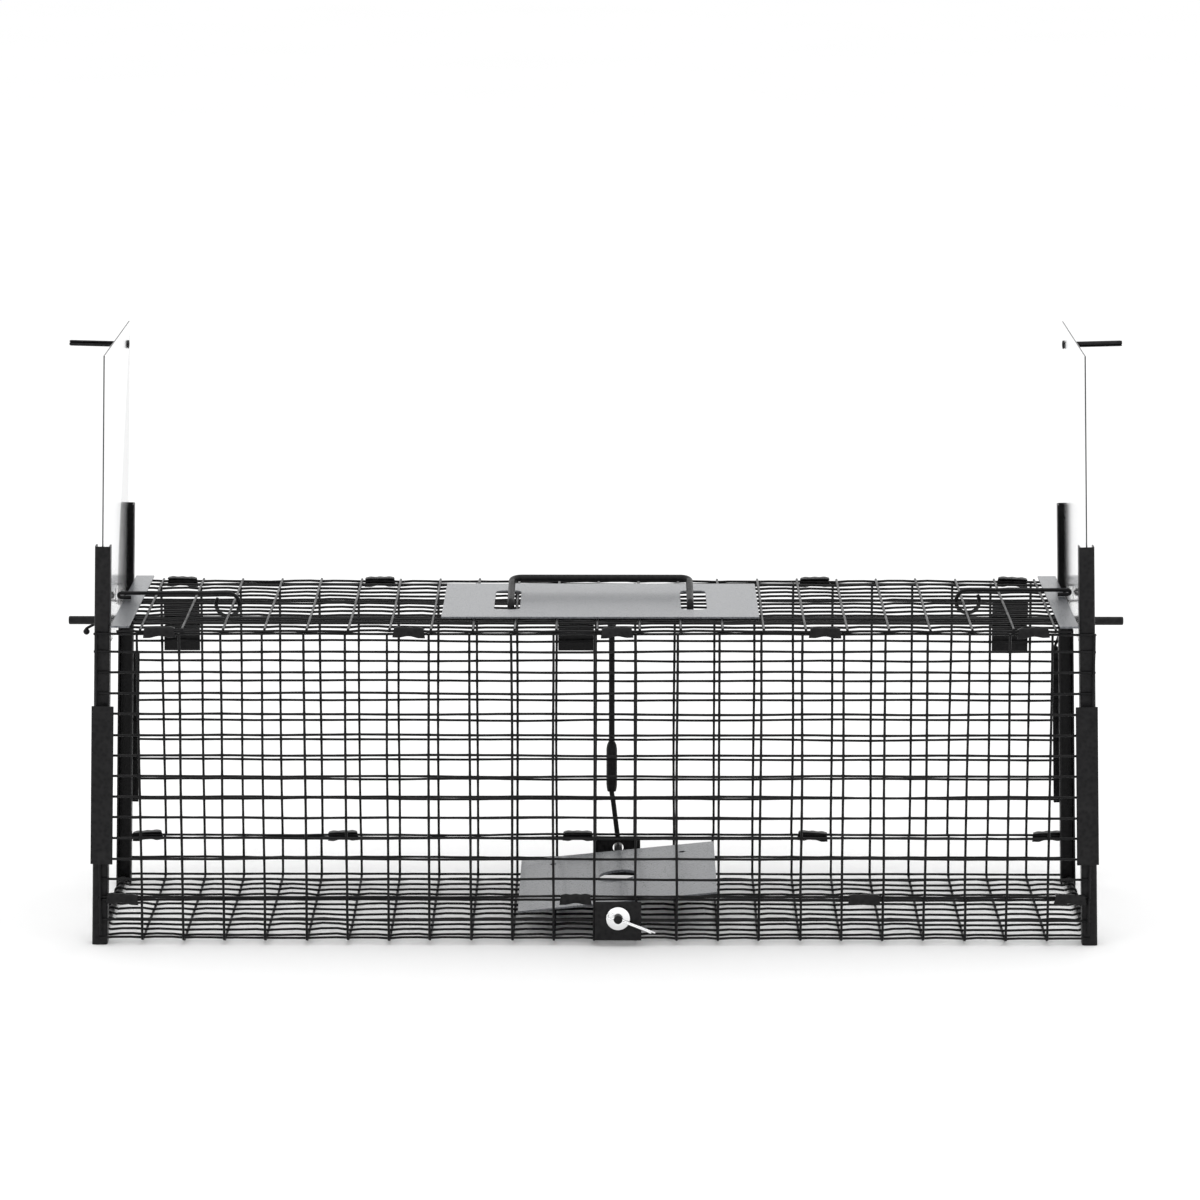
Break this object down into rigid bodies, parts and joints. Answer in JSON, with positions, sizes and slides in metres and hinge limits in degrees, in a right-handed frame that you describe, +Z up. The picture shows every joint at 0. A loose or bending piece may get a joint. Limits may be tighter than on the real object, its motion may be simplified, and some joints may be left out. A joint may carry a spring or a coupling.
{
  "type": "live catch trap",
  "caption": "Two-entrance live catch trap: a long welded-mesh cage with a raised gravity door at each end, a treadle, a trip bar and a folding carry handle.",
  "frame": {"origin": "on the ground under the middle of the whole trap, both doors raised", "axes": "+X runs along the cage from one door to the other, +Y points to the side that carries the trip bar, +Z is up"},
  "size_m": [0.68, 0.185, 0.3672],
  "materials": {
    "black_hammer": "black hammertone enamel",
    "grey_hammer": "grey hammertone enamel",
    "black_wire": "glossy black enamel over welded wire",
    "bright_sheet": "bright galvanized sheet",
    "bright_zinc": "bright zinc plate"
  },
  "bodies": {
    "root": {"floor_mesh": "black_wire", "floor_lip_front": "black_wire", "floor_lip_rear": "black_wire", "front_mesh": "black_wire", "rear_mesh": "black_wire", "top_mesh": "black_wire", "left_front_channel": "black_hammer", "left_rear_channel": "black_hammer", "right_front_channel": "black_hammer", "right_rear_channel": "black_hammer", "left_front_clamp": "black_hammer", "left_rear_clamp": "black_hammer", "right_front_clamp": "black_hammer", "right_rear_clamp": "black_hammer", "left_cross_rod": "black_hammer", "right_cross_rod": "black_hammer", "left_top_strip": "grey_hammer", "right_top_strip": "grey_hammer", "left_bar_guide": "black_hammer", "middle_bar_guide": "black_hammer", "right_bar_guide": "black_hammer", "front_bracket": "black_hammer", "rear_bracket": "black_hammer", "handle_plate": "grey_hammer", "front_top_clip_1": "black_hammer", "front_top_clip_2": "black_hammer", "front_top_clip_3": "black_hammer", "front_top_clip_4": "black_hammer", "front_top_clip_5": "black_hammer", "rear_top_clip_1": "black_hammer", "rear_top_clip_2": "black_hammer", "rear_top_clip_3": "black_hammer", "rear_top_clip_4": "black_hammer", "rear_lower_clip_1": "black_hammer", "rear_lower_clip_2": "black_hammer", "rear_lower_clip_3": "black_hammer", "rear_lower_clip_4": "black_hammer", "rear_lower_clip_5": "black_hammer", "front_lower_clip_1": "black_hammer", "front_lower_clip_2": "black_hammer", "front_lower_clip_3": "black_hammer", "front_lower_clip_4": "black_hammer"},
    "left_door_body": {"left_door": "bright_sheet", "left_door_pin": "black_hammer"},
    "right_door_body": {"right_door": "bright_sheet", "right_door_pin": "black_hammer"},
    "left_lever": {"left_catch_lever": "black_wire"},
    "right_lever": {"right_catch_lever": "black_wire"},
    "trip_bar_body": {"trip_bar": "black_hammer", "trip_stem": "black_hammer", "trip_sleeve": "black_hammer"},
    "left_hook": {"left_lock_hook": "black_wire"},
    "right_hook": {"right_lock_hook": "black_wire"},
    "treadle": {"treadle_plate": "grey_hammer", "treadle_shaft_front": "black_hammer", "treadle_shaft_rear": "black_hammer", "treadle_arm": "black_hammer", "shaft_washer": "bright_zinc", "split_pin": "bright_zinc"},
    "handle": {"carry_handle": "black_hammer"}
  },
  "joints": [
    {"name": "left_door_slide", "type": "slide", "parent": "root", "child": "left_door_body", "axis": [0.0258, 0, 0.9997], "range_m": [-0.1739, 0]},
    {"name": "right_door_slide", "type": "slide", "parent": "root", "child": "right_door_body", "axis": [-0.0258, 0, 0.9997], "range_m": [-0.1739, 0]},
    {"name": "left_lever_turn", "type": "hinge", "parent": "root", "child": "left_lever", "pos_m": [-0.2266, -0.00202, 0.1986], "axis": [0, 1, 0], "range_deg": [0, 75]},
    {"name": "right_lever_turn", "type": "hinge", "parent": "root", "child": "right_lever", "pos_m": [0.2306, 0.01068, 0.1986], "axis": [0, -1, 0], "range_deg": [0, 75]},
    {"name": "treadle_tilt", "type": "hinge", "parent": "root", "child": "treadle", "pos_m": [0.0145, -0.00202, 0.02015], "axis": [0, 0.9998, 0.0196], "range_deg": [-1, 11.2]},
    {"name": "trip_bar_slide", "type": "slide", "parent": "root", "child": "trip_bar_body", "axis": [1, 0, 0], "range_m": [-0.0008, 0.0078]},
    {"name": "left_hook_swing", "type": "hinge", "parent": "trip_bar_body", "child": "left_hook", "pos_m": [-0.32, 0.08743, 0.1712], "axis": [1, 0, 0], "range_deg": [-120, 120]},
    {"name": "right_hook_swing", "type": "hinge", "parent": "trip_bar_body", "child": "right_hook", "pos_m": [0.3024, 0.08743, 0.1712], "axis": [1, 0, 0], "range_deg": [0, 150]},
    {"name": "handle_fold", "type": "hinge", "parent": "root", "child": "handle", "pos_m": [0.0034, -0.00838, 0.1986], "axis": [1, 0, 0], "range_deg": [0, 130]}
  ],
  "couplings": [
    {"joint": "trip_bar_slide", "follows": "treadle_tilt", "m_per_rad": 0.0393}
  ]
}
